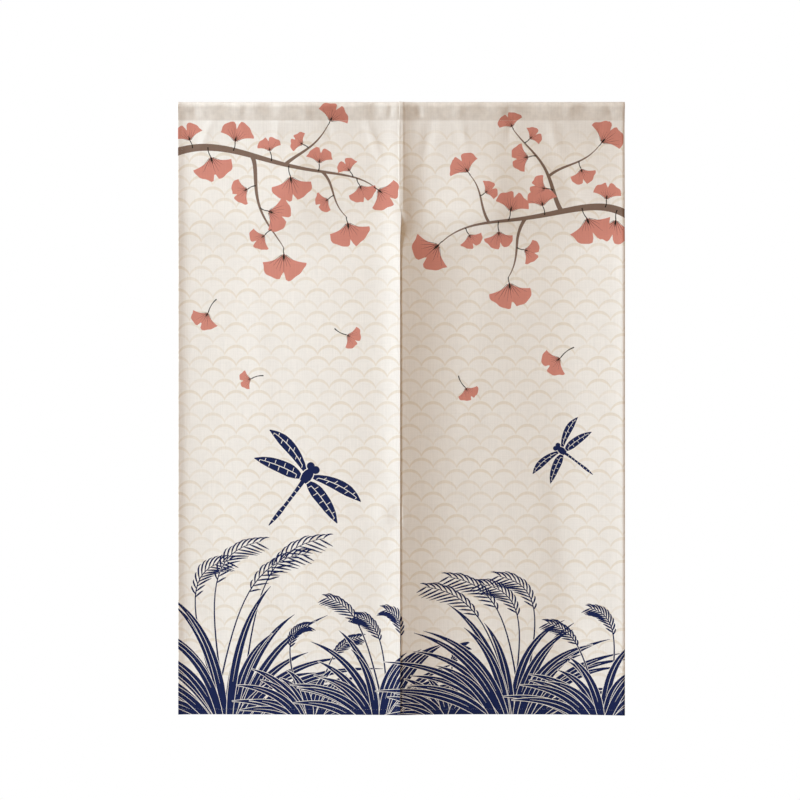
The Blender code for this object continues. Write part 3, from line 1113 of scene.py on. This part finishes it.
def flat_panel(side):
    """The flat cloth as triangles that follow a grid and the inks' borders, and each one's ink."""
    inked = inked_triangles(side)
    border_points, border_edges = ink_borders(*inked)
    places = [tuple(place) for place in border_points]
    edges = [tuple(edge) for edge in border_edges.tolist()]
    outlines = kdtree.KDTree(len(places))
    for number, (across, run) in enumerate(places):
        outlines.insert((across, run, 0.0), number)
    outlines.balance()
    columns = [side * place for place in stations(ACROSS_MARKS)]
    rows = stations(RUN_MARKS)
    kept_columns = {side * mark for mark, _ in ACROSS_MARKS}
    kept_rows = {mark for mark, _ in RUN_MARKS}
    numbers = {}
    for column, across in enumerate(columns):
        for row, run in enumerate(rows):
            kept = across in kept_columns or run in kept_rows
            _, _, distance = outlines.find((across, run, 0.0))
            if kept or distance > NEAR_OUTLINE:
                numbers[column, row] = len(places)
                places.append((across, run))
    for column, across in enumerate(columns):
        if across in kept_columns:
            line = [numbers[column, row] for row in range(len(rows))]
            edges += zip(line, line[1:])
    for row, run in enumerate(rows):
        if run in kept_rows:
            line = [numbers[column, row] for column in range(len(columns))]
            edges += zip(line, line[1:])
    points, faces = triangulated(places, edges)
    corners = points[faces]
    middles = corners.mean(axis=1)
    first, second = corners[:, 1] - corners[:, 0], corners[:, 2] - corners[:, 0]
    areas = (first[:, 0] * second[:, 1] - first[:, 1] * second[:, 0]) / 2.0
    low, high = sorted((0.0, side * OUTER_EDGE))
    wanted = (middles[:, 0] > low) & (middles[:, 0] < high)
    wanted &= (middles[:, 1] > 0.0) & (middles[:, 1] < CLOTH_RUN) & (np.abs(areas) > SMALLEST_FACE)
    faces, middles = faces[wanted], middles[wanted]
    below = on_flat(*inked[:2])
    found = [below.ray_cast((x, y, 1.0), (0.0, 0.0, -1.0))[2] for x, y in middles]
    inks = [0 if number is None else inked[2][number] for number in found]
    return points, faces, inks


def hang(side, flat):
    """World places and normals of flat points, whose third number is 1 on the front and 0 on the back."""
    across, run, layer = flat[:, 0], flat[:, 1], flat[:, 2]
    normals = cloth_normals(side, across, run)
    thickness = cloth_thickness(across, run)
    from_side, from_end = edge_distances(across, run)
    side_turn = np.clip(1.0 - from_side / EDGE_ROUND, 0.0, 1.0)
    end_turn = np.clip(1.0 - from_end / EDGE_ROUND, 0.0, 1.0)
    turned = np.clip(np.hypot(side_turn, end_turn), 0.0, 1.0)
    inset = EDGE_ROUND * (1.0 - np.sqrt(1.0 - turned**2))
    depth = np.where(layer == FRONT_LAYER, inset, thickness - inset)
    places = cloth_surface(side, across, run) - normals * depth[:, None]

    nearer_outer = np.where(np.abs(across) > OUTER_EDGE / 2.0, 1.0, -1.0)
    outward_side = np.zeros_like(normals)
    outward_side[:, 0] = side * nearer_outer
    outward_end = np.zeros_like(normals)
    outward_end[:, 2] = -1.0
    straight_out = np.where(layer == FRONT_LAYER, 1.0, -1.0) * np.sqrt(1.0 - turned**2)
    facing = normals * straight_out[:, None]
    facing += outward_side * side_turn[:, None] + outward_end * end_turn[:, None]
    return places, facing / np.linalg.norm(facing, axis=1)[:, None]


def all_of(parts, what, width=1, kind=float):
    """One measure of all points, faces or corners of a mesh: a row each, or a number each."""
    numbers = np.empty(len(parts) * width, dtype=kind)
    parts.foreach_get(what, numbers)
    return numbers.reshape(-1, width) if width > 1 else numbers


def keep_flat_places(mesh, flat):
    """Keeps where each point lies on the flat cloth as the mesh's UV map."""
    corner_points = all_of(mesh.loops, "vertex_index", kind=np.int32)
    places = mesh.uv_layers.new(name=UV_NAME)
    places.data.foreach_set("uv", flat[corner_points].ravel())


def put_in_scene(name, data):
    """A new object in the scene for a mesh, a light or a camera."""
    made = bpy.data.objects.new(name, data)
    bpy.context.scene.collection.objects.link(made)
    return made


def add_cloth(side):
    """One panel's whole cloth: the flat sheet made two-sided, then hung on its folds."""
    name = SIDE_NAMES[side] + "_cloth"
    points, faces, inks = flat_panel(side)
    mesh = bpy.data.meshes.new(name)
    mesh.from_pydata([(x, y, BACK_LAYER) for x, y in points], [], faces.tolist())
    for material in cloth_finishes:
        mesh.materials.append(material)
    mesh.polygons.foreach_set("material_index", inks)
    shape = bmesh.new()
    shape.from_mesh(mesh)
    loose = [point for point in shape.verts if not point.link_faces]
    bmesh.ops.delete(shape, geom=loose, context="VERTS")
    front = bmesh.ops.extrude_face_region(shape, geom=shape.faces[:], use_keep_orig=True)
    front_points = [part for part in front["geom"] if isinstance(part, bmesh.types.BMVert)]
    bmesh.ops.translate(shape, verts=front_points, vec=(0.0, 0.0, FRONT_LAYER - BACK_LAYER))
    bmesh.ops.recalc_face_normals(shape, faces=shape.faces[:])
    shape.to_mesh(mesh)
    shape.free()

    flat = all_of(mesh.vertices, "co", 3)
    keep_flat_places(mesh, flat[:, :2])
    layers = all_of(mesh.polygons, "center", 3)[:, 2]
    finish = all_of(mesh.polygons, "material_index", kind=np.int32)
    on_front = np.isclose(layers, FRONT_LAYER)
    on_back = np.isclose(layers, BACK_LAYER)
    finish = np.where(on_front, finish, np.where(on_back, len(FRONT_INKS) + finish, 0))
    mesh.polygons.foreach_set("material_index", finish.astype(np.int32))

    hung, facing = hang(side, flat)
    mesh.vertices.foreach_set("co", hung.ravel())
    mesh.update()
    mesh.shade_smooth()
    mesh.normals_split_custom_set_from_vertices(facing.tolist())
    return put_in_scene(name, mesh)


for side, side_name in SIDE_NAMES.items():
    cloth = add_cloth(side)
    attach(cloth, "root")
    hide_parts(side_name + "_panel", side_name + "_heading")

# Seam lap
# A narrow strip of the same cloth covers the join of the two panels from the pocket's back, over the
# top and down to the slit. It is folded under along its left edge, which makes that side thicker.
LAP_WIDTH = 0.0090
LAP_MIDDLE = 0.0001
LAP_SHARP = math.radians(40)
LAP_THICKNESS = 0.0007
LAP_COLUMNS = 22
LAP_ROW = 0.0022
LAP_CROWN = 0.0001
LAP_FLATNESS = 4
LAP_DOUBLE_TO = -0.0024
LAP_DOUBLE_RISE = 0.00034
LAP_DOUBLE_OVER = 0.0005
LAP_EMBEDDED = 0.0004


def add_seam_lap():
    """The strip as a flat grid with a thickness, then laid on the two panels' cloth."""
    start = CLOTH_RUN - FLAP_BELOW_STITCHES
    end = -SEAM_LENGTH - HEM_HEIGHT
    rows = math.ceil((start - end) / LAP_ROW)
    shape = bmesh.new()
    half = 0.5
    bmesh.ops.create_grid(shape, x_segments=LAP_COLUMNS, y_segments=rows, size=half)
    bmesh.ops.solidify(shape, geom=shape.faces[:], thickness=LAP_THICKNESS)
    bmesh.ops.recalc_face_normals(shape, faces=shape.faces[:])
    mesh = bpy.data.meshes.new("seam_lap")
    shape.to_mesh(mesh)
    shape.free()
    flat = all_of(mesh.vertices, "co", 3)
    share = flat[:, 0] + half
    across = LAP_MIDDLE + mixed(-LAP_WIDTH / 2.0, LAP_WIDTH / 2.0, share)
    run = mixed(end, start, flat[:, 1] + half)
    is_top = flat[:, 2] > flat[:, 2].mean()
    places = np.zeros_like(flat)
    for side in SIDE_NAMES:
        mine = (across * side > 0.0) | ((across == 0.0) & (side > 0))
        normals = cloth_normals(side, across[mine], run[mine])
        crown = LAP_CROWN * (1.0 - (2.0 * share[mine] - 1.0) ** LAP_FLATNESS)
        crown += LAP_DOUBLE_RISE * eased((LAP_DOUBLE_TO - across[mine]) / LAP_DOUBLE_OVER)
        lift = np.where(is_top[mine], LAP_THICKNESS - LAP_EMBEDDED + crown, -LAP_EMBEDDED)
        places[mine] = cloth_surface(side, across[mine], run[mine]) + normals * lift[:, None]
        places[mine, 0] = across[mine]
    keep_flat_places(mesh, np.column_stack([across, run]))
    mesh.vertices.foreach_set("co", places.ravel())
    mesh.update()
    mesh.shade_smooth()
    mesh.set_sharp_from_angle(angle=LAP_SHARP)
    mesh.materials.append(cloth_finishes[0])
    return put_in_scene("seam_lap", mesh)


seam_lap = add_seam_lap()
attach(seam_lap, "root")

# Sewing thread
# Off-white polyester thread, lockstitched by machine: one row along the rod pocket, which shows on both
# faces, and one along each hem. A stitch is a short bar that dips into the cloth at both ends.
STITCH_PITCH = 0.0034
STITCH_LENGTH = 0.0027
PRICK_SHARE = 0.30
STITCH_WIDTH = 0.00048
STITCH_HEIGHT = 0.00036
STITCH_LIFT = 0.00004
HEM_STITCHES_IN = 0.0075
BOTTOM_STITCHES_UP = 0.0102
THREAD = (0.74, 0.715, 0.67, 1.0)
THREAD_ROUGHNESS = 0.70
THREAD_TWIST_PITCH = 0.00045
THREAD_BUMP = 0.00003


def thread_finish():
    wiring = Wiring("sewing thread")
    place = wiring.add("ShaderNodeTexCoord").outputs["Object"]
    x, _, z = wiring.apart(place)
    twist = wiring.reckon("SINE", (x + z) * (math.tau / THREAD_TWIST_PITCH))
    return wiring.finish(twist, THREAD_BUMP, Base_Color=THREAD, Roughness=THREAD_ROUGHNESS)


def stitch_row(across, run):
    """Places and directions of the stitches along one straight row on the flat cloth."""
    start, end = np.array([across[0], run[0]]), np.array([across[1], run[1]])
    count = int(np.linalg.norm(end - start) / STITCH_PITCH)
    middles = mixed(start, end, ((np.arange(count) + 0.5) / count)[:, None])
    return middles, (end - start) / np.linalg.norm(end - start)


def add_stitches(name, side, rows, thread):
    """All the stitches of one panel as one piece: a small bar, set down along each row, front and back."""
    shape = bmesh.new()
    bmesh.ops.create_icosphere(shape, subdivisions=1, radius=1.0)
    bar = np.array([tuple(point.co) for point in shape.verts])
    bar *= np.array([STITCH_LENGTH, STITCH_WIDTH, STITCH_HEIGHT]) / 2.0
    bar_faces = np.array([[point.index for point in face.verts] for face in shape.faces])
    shape.free()
    places = []
    for (across, run), on_back, length in rows:
        middles, way = stitch_row(across, run)
        normals = cloth_normals(side, middles[:, 0], middles[:, 1])
        spots = cloth_surface(side, middles[:, 0], middles[:, 1])
        reach = way * NORMAL_REACH
        ahead = cloth_surface(side, middles[:, 0] + reach[0], middles[:, 1] + reach[1])
        ahead -= cloth_surface(side, middles[:, 0] - reach[0], middles[:, 1] - reach[1])
        ahead /= np.linalg.norm(ahead, axis=1)[:, None]
        if on_back:
            thickness = cloth_thickness(middles[:, 0], middles[:, 1])
            spots = spots - normals * (thickness + STITCH_LIFT)[:, None]
        else:
            spots = spots + normals * STITCH_LIFT
        beside = np.cross(normals, ahead)
        axes = np.stack([ahead * length, beside, normals], axis=1)
        places.append(spots[:, None, :] + np.einsum("pc,scw->spw", bar, axes))
    places = np.concatenate(places)
    faces = bar_faces[None] + (np.arange(len(places)) * len(bar))[:, None, None]
    mesh = bpy.data.meshes.new(name)
    mesh.from_pydata(places.reshape(-1, 3).tolist(), [], faces.reshape(-1, 3).tolist())
    mesh.shade_smooth()
    mesh.materials.append(thread)
    stitches = put_in_scene(name, mesh)
    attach(stitches, "root")
    return stitches


thread = thread_finish()
for side, side_name in SIDE_NAMES.items():
    outer_row = side * (OUTER_EDGE - HEM_STITCHES_IN)
    inner_row = side * HEM_STITCHES_IN
    across_row = (side * STITCH_PITCH, side * (OUTER_EDGE - STITCH_PITCH))
    upright = (STITCH_PITCH, STITCH_RUN - STITCH_PITCH)
    slit_top = -SEAM_LENGTH - HEM_HEIGHT
    hem_rows = [
        ((outer_row, outer_row), upright),
        ((inner_row, inner_row), (STITCH_PITCH, slit_top)),
        (across_row, (BOTTOM_STITCHES_UP, BOTTOM_STITCHES_UP)),
    ]
    rows = [(row, False, PRICK_SHARE) for row in hem_rows] + [(row, True, 1.0) for row in hem_rows]
    rows.append(((across_row, (STITCH_RUN, STITCH_RUN)), False, 1.0))
    flap_row = CLOTH_RUN - FLAP_BELOW_STITCHES
    rows.append(((across_row, (flap_row, flap_row)), False, 1.0))
    stitches = add_stitches(side_name + "_stitches", side, rows, thread)

# Floor
# A plain matt pale floor, well below the hem of the hanging curtain.
FLOOR_SIZE = 2.0
FLOOR_HEIGHT = HEM_HEIGHT - 0.75
FLOOR_COLOUR = (0.86, 0.86, 0.86, 1.0)
FLOOR_ROUGHNESS = 0.8

floor_shape = bmesh.new()
bmesh.ops.create_grid(floor_shape, x_segments=1, y_segments=1, size=FLOOR_SIZE)
bmesh.ops.translate(floor_shape, verts=floor_shape.verts, vec=(0.0, 0.0, FLOOR_HEIGHT))
floor_mesh = bpy.data.meshes.new("floor")
floor_shape.to_mesh(floor_mesh)
floor_shape.free()
floor_finish = bpy.data.materials.new("pale floor")
floor_finish.use_nodes = True
floor_shader = floor_finish.node_tree.nodes["Principled BSDF"]
floor_shader.inputs["Base Color"].default_value = FLOOR_COLOUR
floor_shader.inputs["Roughness"].default_value = FLOOR_ROUGHNESS
floor_mesh.materials.append(floor_finish)
floor = put_in_scene("floor", floor_mesh)

# Light
# A cool key light grazes the cloth from the left and a little above. A warm fill from the front and a
# dim warm surround lighten the folds, and the camera sees the surround as plain white.
CURTAIN_MIDDLE = Vector((0.0, 0.0, HEM_HEIGHT / 2.0))
Softbox = namedtuple("Softbox", "name turn rise distance width height power colour")
SOFTBOXES = [
    Softbox("key light", 72, 22, 4.0, 0.6, 2.4, 305.0, (0.868, 1.0, 1.102)),
    Softbox("fill light", 0, 38, 6.0, 2.5, 2.5, 45.1, (1.545, 1.0, 0.568)),
]
SURROUND_STRENGTH = 0.160
SURROUND_COLOUR = (1.545, 1.0, 0.568, 1.0)
BACKDROP_WHITE = (1.0, 1.0, 1.0, 1.0)


def add_softbox(softbox):
    """A flat light that faces the curtain's middle. turn is to the left of the camera's own line."""
    lamp = bpy.data.lights.new(softbox.name, "AREA")
    lamp.shape = "RECTANGLE"
    lamp.size = softbox.width
    lamp.size_y = softbox.height
    lamp.energy = softbox.power
    lamp.color = softbox.colour
    stand = put_in_scene(softbox.name, lamp)
    turn, rise = math.radians(softbox.turn), math.radians(softbox.rise)
    away = Vector((-math.sin(turn) * math.cos(rise), -math.cos(turn) * math.cos(rise), math.sin(rise)))
    stand.location = CURTAIN_MIDDLE + away * softbox.distance
    stand.rotation_euler = (-away).to_track_quat("-Z", "Y").to_euler()


for softbox in SOFTBOXES:
    add_softbox(softbox)

surround = bpy.data.worlds.new("studio")
surround.use_nodes = True
nodes = surround.node_tree.nodes
links = surround.node_tree.links
glow = nodes["Background"]
glow.inputs["Color"].default_value = SURROUND_COLOUR
glow.inputs["Strength"].default_value = SURROUND_STRENGTH
backdrop = nodes.new("ShaderNodeBackground")
backdrop.inputs["Color"].default_value = BACKDROP_WHITE
seen = nodes.new("ShaderNodeLightPath")
choice = nodes.new("ShaderNodeMixShader")
links.new(seen.outputs["Is Camera Ray"], choice.inputs[0])
links.new(glow.outputs["Background"], choice.inputs[1])
links.new(backdrop.outputs["Background"], choice.inputs[2])
links.new(choice.outputs["Shader"], nodes["World Output"].inputs["Surface"])
bpy.context.scene.world = surround
bpy.context.scene.view_settings.view_transform = "Standard"

# Camera
# It looks straight at the front from the height of the curtain's middle. The photograph is 800 pixels
# across, and the curtain between 446 and 447 of them.
PHOTO_PIXELS = 800
CURTAIN_PIXELS = 446.5
METRES_PER_PIXEL = 2.0 * OUTER_EDGE / CURTAIN_PIXELS
CURTAIN_MIDDLE_PIXEL = 401.3
CURTAIN_TOP_PIXEL = 102.0
CAMERA_LENS = 120.0
SENSOR_WIDTH = 36.0

frame_width = PHOTO_PIXELS * METRES_PER_PIXEL
aim_x = (PHOTO_PIXELS / 2.0 - CURTAIN_MIDDLE_PIXEL) * METRES_PER_PIXEL
aim_z = -(PHOTO_PIXELS / 2.0 - CURTAIN_TOP_PIXEL) * METRES_PER_PIXEL
camera_data = bpy.data.cameras.new("camera")
camera_data.lens = CAMERA_LENS
camera_data.sensor_width = SENSOR_WIDTH
camera = put_in_scene("camera", camera_data)
camera.location = (aim_x, -frame_width * CAMERA_LENS / SENSOR_WIDTH, aim_z)
camera.rotation_euler = (math.radians(90), 0.0, 0.0)
bpy.context.scene.camera = camera
